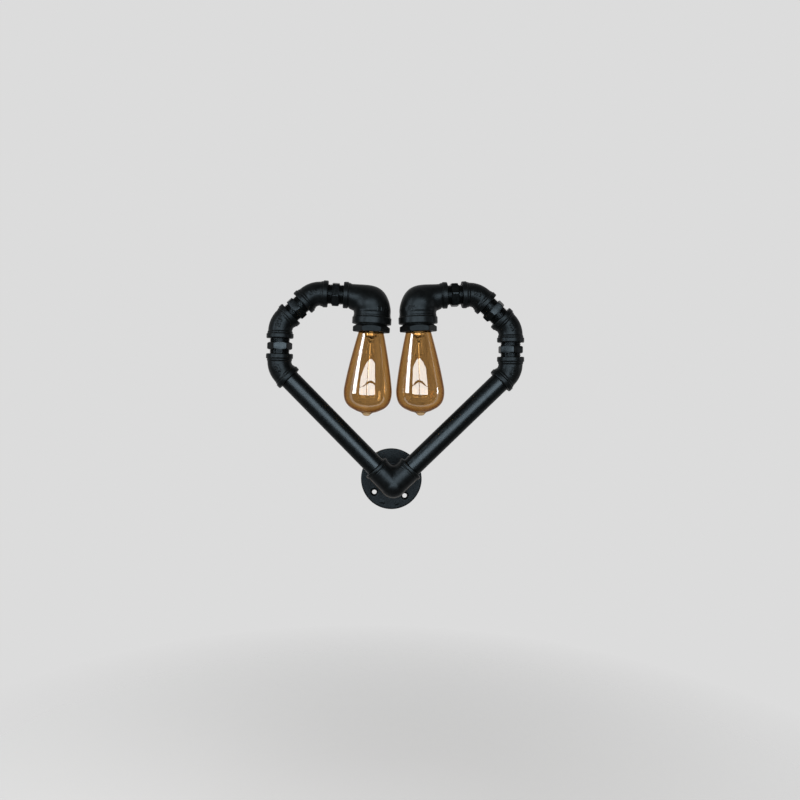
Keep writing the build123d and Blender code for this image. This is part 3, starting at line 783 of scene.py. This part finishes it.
def parting_line(model, level, lift):
    """A low ridge round the casting where it meets the plane Y = level, both in metres."""
    spread = PARTING_SPREAD * MM
    modify_near(model, "DISPLACE", lambda spot: 1 - abs(spot.y - level) / spread,
                strength=lift, mid_level=0.0, direction="NORMAL")


def saddle(model, centre, reach, turns):
    """The crease near a point, in millimetres, is smoothed into a saddle, fully in its inner third."""
    modify_near(model, "SMOOTH", lambda spot: 1.5 * (1 - (spot / MM - Vector(centre)).length / reach),
                factor=0.5, iterations=turns)


def put_cast(model, node, matrix, material):
    """A casting at the place of its node."""
    put(model, f"cast_{node}", matrix, material, "fittings", "cast_black", node)


def groove(sizes, turn, reach, centre=Matrix.Identity(4)):
    """Radius and place of a groove's ring, behind the mouth of a leg of this turn and reach."""
    radius, back = sizes
    return radius, centre @ leg(turn, reach - back)


def cast(model, marks, settings, grooves=(), parting=None, lift=None, crease=None):
    """Grooves are cut, marks grow out of the body, and edges are rounded as by sand and paint.

    Parting is the level of the parting line and lift its height, in metres. Crease holds the centre,
    reach and turns of a saddle.
    """
    for radius, matrix in grooves:
        combine(model, "DIFFERENCE", ring_tool(radius * MM, settings.groove, matrix))
    if marks:
        model = join(model.name, [model] + marks)
    modify(model, "REMESH", mode="VOXEL", voxel_size=settings.voxel, use_smooth_shade=True)
    modify(model, "SMOOTH", factor=0.5, iterations=settings.softness)
    if crease:
        saddle(model, *crease)
    if parting is not None:
        parting_line(model, parting, lift or settings.parting)
    return model


def leg(turn, reach=0.0, axis="Y"):
    """Place on a leg turned about an axis, at a distance along it in millimetres."""
    return Matrix.Rotation(math.radians(turn), 4, axis) @ Matrix.Translation((0, 0, reach * MM))


class PIPELIGHT_OT_elbows(bpy.types.Operator):
    """Model the 45 degree elbows from one casting"""

    bl_idname = "pipelight.elbows"
    bl_label = "Cast elbows"

    def execute(self, context):
        settings = context.scene.pipelight_fittings
        paint = finish("cast_black", cast_paint, settings, grain=1500, depth=0.45)
        model = from_node("right_lower_elbow", elbow_place("right", 0))
        middle = leg(ELBOW_TURN / 2)
        sides = (middle, middle @ leg(180, 0, "Z"))
        height = settings.mark_height
        marks = [raised_mark(model, "3/4", height, side @ in_front(0, 0, -90)) for side in sides]
        grooves = [groove(ELBOW_GROOVE, turn, ELBOW_REACH) for turn in (ELBOW_TURN, 180)]
        model = cast(model, marks, settings, grooves, 0.0)
        for name in SIDES:
            for k, level in enumerate(LEVELS):
                put_cast(model, f"{name}_{level}_elbow", elbow_place(name, k), paint)
        remove(model)
        return {"FINISHED"}


class PIPELIGHT_OT_big_elbows(bpy.types.Operator):
    """Model the reducing elbows and the rings below them"""

    bl_idname = "pipelight.big_elbows"
    bl_label = "Reducing elbows and rings"

    def execute(self, context):
        settings = context.scene.pipelight_fittings
        paint = finish("cast_black", cast_paint, settings, grain=1500, depth=0.45)
        model = from_node("right_reducing_elbow", lamp_place("right"))
        across, up = LARGE_MARK
        spots = (in_front(-across, up), leg(180, 0, "Z") @ in_front(across, up))
        height = settings.mark_height * LARGE_MARK_SHARE
        marks = [raised_mark(model, "1 1/4", height, spot) for spot in spots]
        grooves = [groove(SMALL_GROOVE, 90, SMALL_REACH), groove(LARGE_GROOVE, 180, LARGE_REACH)]
        model = cast(model, marks, settings, grooves, 0.0)
        matt = finish("ring_black", cast_paint, settings, grain=1500, depth=0.3, share=0.6)
        ring = cast(from_node("right_lamp_ring", lamp_place("right")), [], settings)
        for name in SIDES:
            put_cast(model, f"{name}_reducing_elbow", lamp_place(name), paint)
            put_cast(ring, f"{name}_lamp_ring", lamp_place(name), matt)
        remove(model)
        remove(ring)
        return {"FINISHED"}


class PIPELIGHT_OT_wall_end(bpy.types.Operator):
    """Model the corner elbow and the wall flange"""

    bl_idname = "pipelight.wall_end"
    bl_label = "Corner elbow and flange"

    def execute(self, context):
        settings = context.scene.pipelight_fittings
        # The corner elbow's brown under its parting line is partly wear, partly a painted warm reflection
        # from below.
        paint = finish("corner_black", cast_paint, settings, grain=1500, depth=0.40, share=1.4, rust=True)
        rough = finish("flange_black", cast_paint, settings, grain=700, depth=1.6, share=0.9)
        here = Matrix.Identity(4)
        centre = Matrix.Translation((0, -ARM_DEPTH * MM, 0))
        turns = (90 - ARM_RISE, ARM_RISE - 90)
        grooves = [groove(CORNER_GROOVE, turn, CORNER_REACH, centre) for turn in turns]
        crease = ((0, -ARM_DEPTH, CROTCH_HEIGHT), SADDLE_REACH, SADDLE_TURNS)
        corner = from_node("corner_elbow", here)
        corner = cast(corner, [], settings, grooves, -ARM_DEPTH * MM, CORNER_PARTING * MM, crease)
        put_cast(corner, "corner_elbow", here, paint)
        flange = from_node("wall_flange", here)
        marks = []
        for text, angle in FLANGE_MARKS:
            x, z = step((0, 0), angle, FLANGE_MARK_R)
            spot = in_front(x, z, -(angle + 90))
            marks.append(raised_mark(flange, text, FLANGE_MARK_SIZE * MM, spot, lift=0.45))
        flange = cast(flange, marks, settings)
        put_cast(flange, "wall_flange", here, rough)
        remove(corner)
        remove(flange)
        return {"FINISHED"}


# ---------------- pipes and nipples


def round_bar(name, radius, low, high, edge=0.0):
    """Closed bar on Z between two heights, in millimetres, its ends bevelled."""
    side = [(radius, low), (radius, high)]
    if edge:
        rim = radius - edge
        side = [(rim, low), (radius, low + edge), (radius, high - edge), (rim, high)]
    return spun(name, [(0, low), *side, (0, high)])


def hexagon_nut(turn):
    """Hexagon about the origin, its corners turned off and its edges eased."""
    high = HEX_LENGTH / 2
    bpy.ops.mesh.primitive_cylinder_add(
        vertices=6, radius=HEX_FLATS / math.sqrt(3) * MM, depth=HEX_LENGTH * MM,
        rotation=(0, 0, math.radians(turn)),
    )
    nut = bpy.context.object
    settle(nut)
    rim, rise = HEX_CORNER_R - HEX_DRESS[0], HEX_DRESS[1]
    side = [(rim, -high), (HEX_CORNER_R, rise - high), (HEX_CORNER_R, high - rise), (rim, high)]
    combine(nut, "INTERSECT", spun("dress", [(0, -high), *side, (0, high)]))
    modify(nut, "BEVEL", width=HEX_EDGE * MM, segments=2, limit_method="ANGLE",
           angle_limit=math.radians(24))
    return nut


def thread(name, low, high, depth):
    """Screw thread on Z: one tooth's line is wound up past both ends, then cut square and closed."""
    obj = lone_point(name)
    bpy.ops.transform.translate(value=((THREAD_R - depth) * MM, 0, (low - 2 * THREAD_PITCH) * MM))
    for outwards, up in ((0, THREAD_FLAT), (depth, THREAD_FLANK), (0, THREAD_FLAT), (-depth, THREAD_FLANK)):
        draw_on(outwards, up * THREAD_PITCH)
    leave_edit()
    wind(obj, THREAD_PITCH, math.ceil((high - low) / THREAD_PITCH) + 4)
    edit(obj)
    bpy.ops.mesh.remove_doubles(threshold=0.001 * MM)
    cut_off(low, high, True)
    bpy.ops.mesh.select_all(action="SELECT")
    bpy.ops.mesh.normals_make_consistent(inside=False)
    leave_edit()
    return obj


def shade(obj, angle=30):
    """Smooth shading, broken at edges sharper than an angle in degrees."""
    activate(obj)
    bpy.ops.object.shade_smooth_by_angle(angle=math.radians(angle))
    return obj


def threaded_pipe(name, length, bore, settings, nut_turn=None):
    """Pipe on Z from 0 up: bare between threaded ends, or threaded all along under a hexagon."""
    depth = settings.thread_depth / MM
    if nut_turn is None:
        low, high = THREAD_IN, length - THREAD_IN
        pipe = round_bar(name, PIPE_R, low, high, edge=0.3)
        for start, end in ((0, low + OVERLAP), (high - OVERLAP, length)):
            combine(pipe, "UNION", thread("thread", start, end, depth))
    else:
        pipe = thread(name, 0, length, depth)
        nut = hexagon_nut(nut_turn)
        nut.data.transform(leg(0, length / 2))
        combine(pipe, "UNION", nut)
    combine(pipe, "DIFFERENCE", round_bar("bore", bore, -OVERLAP, length + OVERLAP))
    tidy(pipe, 0.001 * MM)
    return shade(pipe)


class PIPELIGHT_OT_pipes(bpy.types.Operator):
    """Model the long pipes and the hexagon nipples between the elbows"""

    bl_idname = "pipelight.pipes"
    bl_label = "Pipes and nipples"

    def execute(self, context):
        settings = context.scene.pipelight_fittings
        paint = finish("pipe_black", pipe_paint, settings)
        start = CORNER_REACH - THREAD_IN
        length = RUNS["left"][0] - ELBOW_REACH + THREAD_IN - start
        arm = threaded_pipe("model_arm", length, PIPE_BORE_R, settings)
        for name in SIDES:
            at = place(name, step((0, 0), HEADINGS[0], start), HEADINGS[0], HEADINGS[0] + 90)
            put(arm, f"drawn_{name}_arm_pipe", at, paint, "fittings", "pipe_black", f"{name}_arm_pipe")
            for k, level in enumerate(LEVELS):
                length = nipple_shown(name, k) + 2 * THREAD_IN
                model = threaded_pipe("model_nipple", length, NIPPLE_BORE_R, settings, HEX_TURNS[name][k])
                at = nipple_place(name, k) @ leg(0, -length / 2)
                node = f"{name}_{level}_nipple"
                put(model, f"drawn_{node}", at, paint, "fittings", "pipe_black", node)
                remove(model)
        remove(arm)
        dress(paint, "flange_nipple")
        return {"FINISHED"}


# ---------------- bulbs


def glass_outline(wall):
    """Outer side down to the nub, then the inner side back up to the neck."""
    outer = [tuple(p) for p in smooth_line(GLASS_LINE, 6)]
    nub = [tuple(p) for p in smooth_line(NUB_LINE, 3)][1:]
    inner = []
    for k, (radius, depth) in enumerate(outer):
        before = Vector(outer[max(k - 1, 0)])
        after = Vector(outer[min(k + 1, len(outer) - 1)])
        run = (after - before).normalized()
        inner.append((radius - run.y * wall, depth + run.x * wall))
    floor = inner[-1][1]
    points = [(NECK_BORE_R, NECK_END), (NECK_R, NECK_END), (NECK_R, NECK_SHOULDER)] + outer + nub
    points += [(0.0, floor)] + inner[::-1] + [(NECK_BORE_R, NECK_SHOULDER), (NECK_BORE_R, NECK_END)]
    return [(radius, -depth) for radius, depth in points]


def on_ring(radius, degrees, depth):
    """Point on a ring about the lamp's axis, at a depth."""
    x, y = step((0, 0), degrees, radius)
    return x, y, -depth


def stem():
    """Clear glass mount: flare sealed in the neck, bell, tube drawn out to a rod with a button."""
    outline = [tuple(point) for line, parts in STEM_LINES for point in smooth_line(line, parts)]
    model = shade(spun("model_stem", outline, 32), 50)
    silver = model.data.attributes.new("silver", "FLOAT", "POINT")
    for vertex, value in zip(model.data.vertices, silver.data):
        depth = -vertex.co.z / MM
        value.value = 1.0 if depth > SILVER_ROD or SILVER_BAND[0] < depth < SILVER_BAND[1] else 0.0
    return model


def supports():
    """Two rings of wire hooks on the rod, and the two leads that come down beside the tube."""
    wires = []
    for depth, radius, first, way in (UPPER_HOOKS, LOWER_HOOKS):
        for k in range(HOOK_COUNT):
            degrees = (k + first) * HOOK_STEP
            line = [(1.0, 0, 0), (radius * 0.6, 0, 0), (radius * 0.9, 0, 0), (radius + 0.5, 3, 0.2)]
            line += [(radius + 0.4, 12, 0.5), (radius - 0.6, 18, 0.8), (radius - 1.2, 14, 0.9)]
            points = [on_ring(r, degrees + turn, depth - up * way) for r, turn, up in line]
            wires.append(wire("hook", points, HOOK_WIRE_R))
    for degrees in LEAD_TURNS:
        wires.append(wire("lead", [on_ring(r, degrees, -height) for r, height in LEAD_LINE], LEAD_WIRE_R))
    return shade(join("model_supports", wires), 60)


def filament_wire(radius):
    """One wire that zigzags between the two rings of hooks, half a millimetre beyond each.

    It bends over each hook a few degrees to either side.
    """
    points = []
    for k in range(HOOK_COUNT):
        for (depth, ring, first, way), bend in ((UPPER_HOOKS, 6.4), (LOWER_HOOKS, 4.5)):
            degrees = (k + first) * HOOK_STEP
            points += [on_ring(ring, degrees + turn, depth - 0.5 * way) for turn in (-bend, bend)]
    return shade(wire("model_filament", points[:-2], radius), 60)


def screw_cap():
    """Pressed brass cap: rolled round thread, plain rim by the glass and rounded crown."""
    cap = lone_point("model_cap")
    steps = [math.radians(n * 360 / CAP_WAVE_STEPS) for n in range(CAP_WAVE_STEPS + 1)]
    wave = [CAP_R - CAP_DEPTH / 2 * (1 - math.cos(angle)) for angle in steps]
    bpy.ops.transform.translate(value=(wave[0] * MM, 0, CAP_START * MM))
    for before, after in zip(wave, wave[1:]):
        draw_on(after - before, CAP_PITCH / CAP_WAVE_STEPS)
    leave_edit()
    wind(cap, CAP_PITCH, CAP_TURNS)
    edit(cap)
    cut_off(*CAP_THREAD, False)
    leave_edit()
    modify(cap, "SOLIDIFY", thickness=CAP_WALL * MM, offset=-1.0)
    cap = join("model_cap", [cap, spun("skirt", SKIRT_LINE), spun("crown", CROWN_LINE)])
    tidy(cap, 0.001 * MM)
    return shade(cap, 50)


class PIPELIGHT_OT_bulbs(bpy.types.Operator):
    """Model the amber bulbs: glass, stem, hooks, filament and cap"""

    bl_idname = "pipelight.bulbs"
    bl_label = "Bulbs"

    def execute(self, context):
        settings = context.scene.pipelight_bulbs
        glass = shade(spun("model_glass", glass_outline(settings.wall / MM)), 40)
        amber = finish("amber_glass", amber_glass, settings)
        filament = filament_wire(settings.filament / MM)
        pieces = (
            (glass, "blown", "glass", "amber_glass", amber),
            (stem(), "blown", "stem", "clear_glass", finish("clear_glass", clear_glass)),
            (supports(), "bent", "supports", "support_wire", toned("support_wire")),
            (filament, "drawn", "filament", "filament", toned("filament")),
            (screw_cap(), "pressed", "cap", "brass", toned("brass")),
        )
        for name in SIDES:
            body = f"{name}_bulb"
            at = lamp_place(name, LARGE_REACH + RING_SHOWN)
            for model, way, part, slot, material in pieces:
                node = f"{name}_bulb_{part}"
                put(model, f"{way}_{node}", at, material, body, slot, node)
            dress(toned("solder"), f"{name}_bulb_contact")
            dress(toned("black_glass"), f"{name}_bulb_insulator")
        for model, *_ in pieces:
            remove(model)
        return {"FINISHED"}


class PIPELIGHT_OT_lampholders(bpy.types.Operator):
    """Finish the lampholders and leads inside the fittings"""

    bl_idname = "pipelight.lampholders"
    bl_label = "Lampholders and leads"

    def execute(self, context):
        for name in SIDES:
            dress(toned("porcelain"), f"{name}_lampholder_body")
            dress(toned("brass"), *(f"{name}_{part}" for part in BRASS_PARTS))
            dress(toned("sheath_black"), f"{name}_lead_sheath")
            dress(toned("core_brown"), f"{name}_lead_cores")
        return {"FINISHED"}


# ---------------- stage


def panel_light(name, at, aim, size, power, colour=(1, 1, 1)):
    """Flat light of a width and a height, turned to a point."""
    data = bpy.data.lights.new(name, "AREA")
    data.shape = "RECTANGLE"
    data.size, data.size_y = size
    data.energy = power
    data.color = colour
    lamp = added(name, data)
    lamp.location = at
    lamp.rotation_euler = (Vector(at) - Vector(aim)).to_track_quat("Z", "Y").to_euler()


def background_world(settings):
    """The pale background as camera, gloss and glass see it, and a plain fill for the rest."""
    world = bpy.data.worlds.new("pale_background")
    world.use_nodes = True
    nodes, links = world.node_tree.nodes, world.node_tree.links
    seen = nodes["Background"]
    seen.inputs["Color"].default_value = (*settings.background, 1)
    fill = nodes.new("ShaderNodeBackground")
    fill.inputs["Color"].default_value = (1, 1, 1, 1)
    fill.inputs["Strength"].default_value = settings.fill
    path = nodes.new("ShaderNodeLightPath").outputs
    total = path["Is Camera Ray"]
    for key in ("Is Glossy Ray", "Is Transmission Ray"):
        add = nodes.new("ShaderNodeMath")
        add.operation = "ADD"
        add.use_clamp = True
        links.new(total, add.inputs[0])
        links.new(path[key], add.inputs[1])
        total = add.outputs[0]
    mix = nodes.new("ShaderNodeMixShader")
    links.new(total, mix.inputs["Fac"])
    links.new(fill.outputs["Background"], mix.inputs[1])
    links.new(seen.outputs["Background"], mix.inputs[2])
    links.new(mix.outputs["Shader"], nodes["World Output"].inputs["Surface"])
    bpy.context.scene.world = world


def floor_finish(settings):
    """Pale floor that fades out with distance, so that it has no edge."""
    f = Finish("floor")
    pale = tuple(settings.floor)
    f.to("Base Color", f.ramp(f.noise(3, 2), (0.2, pale), (0.9, tuple(c * 1.02 for c in pale))))
    f.set(Roughness=0.9, Specular_IOR_Level=0.1)
    length = f.add("VectorMath")
    length.operation = "LENGTH"
    f.links.new(f.place, length.inputs[0])
    f.to("Alpha", f.range(length.outputs["Value"], FLOOR_R * 0.25, FLOOR_R * 0.95, 1, 0))
    return f.material


def pale_floor(settings):
    """Round floor below the part, unseen by reflections."""
    bpy.ops.mesh.primitive_circle_add(vertices=64, radius=FLOOR_R, fill_type="NGON", location=(0, 0, 0))
    floor = bpy.context.object
    floor.name = "floor"
    floor.location = (0, -ARM_DEPTH * MM, settings.floor_height)
    floor.data.materials.append(floor_finish(settings))
    floor.visible_glossy = False


def window_light(settings):
    """Window of four panes, with the bars between them left dark."""
    total = sum(tall for _, tall in WINDOW_ROWS) * len(WINDOW_COLUMNS)
    for row, (height, tall) in enumerate(WINDOW_ROWS):
        power = settings.window * tall / total
        for k, across in enumerate(WINDOW_COLUMNS):
            at, aim = (across, WINDOW_AWAY, height), (across, 0, height)
            panel_light(f"window_{row}_{k}", at, aim, (PANE_WIDTH, tall), power, (1, 0.99, 0.97))


def dark_tent():
    """Dark cloth round the camera's side, open towards the part and seen by reflections alone."""
    bpy.ops.mesh.primitive_cube_add(size=1, location=TENT_AT, scale=TENT_SIZE)
    tent = bpy.context.object
    tent.name = "dark_tent"
    edit(tent)
    bpy.ops.mesh.select_all(action="DESELECT")
    leave_edit()
    for face in tent.data.polygons:
        face.select = face.normal.y > 0.9
    bpy.ops.object.mode_set(mode="EDIT")
    bpy.ops.mesh.delete(type="FACE")
    leave_edit()
    tent.data.materials.append(toned("tent_cloth"))
    for ray in ("camera", "diffuse", "transmission", "shadow"):
        setattr(tent, "visible_" + ray, False)


def front_camera(settings):
    """Camera before the part, level, shifted to the picture's framing and rolled a little."""
    data = bpy.data.cameras.new("camera")
    data.lens = CAMERA_LENS
    data.sensor_width = 36.0
    data.shift_x, data.shift_y = CAMERA_SHIFT
    camera = added("camera", data)
    turn = Matrix.Rotation(settings.roll, 4, "Y") @ Matrix.Rotation(math.radians(90), 4, "X")
    camera.matrix_world = Matrix.Translation(CAMERA_AT) @ turn
    bpy.context.scene.camera = camera


class PIPELIGHT_OT_stage(bpy.types.Operator):
    """Set up the floor, the lights and the camera"""

    bl_idname = "pipelight.stage"
    bl_label = "Stage"

    def execute(self, context):
        settings = context.scene.pipelight_stage
        background_world(settings)
        pale_floor(settings)
        window_light(settings)
        panel_light("left_strip", (-1.2, -0.55, 0.45), AIM, size=(0.45, 0.9), power=9)
        panel_light("right_strip", (1.2, -0.15, 0.20), AIM, size=(0.18, 0.30), power=1.8)
        dark_tent()
        front_camera(settings)
        context.scene.view_settings.view_transform = "Standard"
        return {"FINISHED"}


class PIPELIGHT_PT_panel(bpy.types.Panel):
    """The light's pieces and settings"""

    bl_idname = "PIPELIGHT_PT_panel"
    bl_label = "Pipe light"
    bl_space_type = "VIEW_3D"
    bl_region_type = "UI"
    bl_category = "Pipe light"

    def draw(self, context):
        scene = context.scene
        for settings in (scene.pipelight_fittings, scene.pipelight_bulbs, scene.pipelight_stage):
            box = self.layout.box()
            for key in type(settings).__annotations__:
                box.prop(settings, key)
        for operator in OPERATORS:
            self.layout.operator(operator.bl_idname)


SETTINGS = {
    "pipelight_fittings": FittingSettings,
    "pipelight_bulbs": BulbSettings,
    "pipelight_stage": StageSettings,
}
OPERATORS = (
    PIPELIGHT_OT_elbows,
    PIPELIGHT_OT_big_elbows,
    PIPELIGHT_OT_wall_end,
    PIPELIGHT_OT_pipes,
    PIPELIGHT_OT_bulbs,
    PIPELIGHT_OT_lampholders,
    PIPELIGHT_OT_stage,
)


def register():
    for kind in (*SETTINGS.values(), *OPERATORS, PIPELIGHT_PT_panel):
        bpy.utils.register_class(kind)
    for key, kind in SETTINGS.items():
        setattr(bpy.types.Scene, key, bpy.props.PointerProperty(type=kind))


def unregister():
    for key in SETTINGS:
        delattr(bpy.types.Scene, key)
    for kind in (PIPELIGHT_PT_panel, *reversed(OPERATORS), *SETTINGS.values()):
        bpy.utils.unregister_class(kind)


def main():
    register()
    bpy.ops.pipelight.elbows()
    bpy.ops.pipelight.big_elbows()
    bpy.ops.pipelight.wall_end()
    bpy.ops.pipelight.pipes()
    bpy.ops.pipelight.bulbs()
    bpy.ops.pipelight.lampholders()
    bpy.ops.pipelight.stage()


if __name__ == "__main__":
    main()
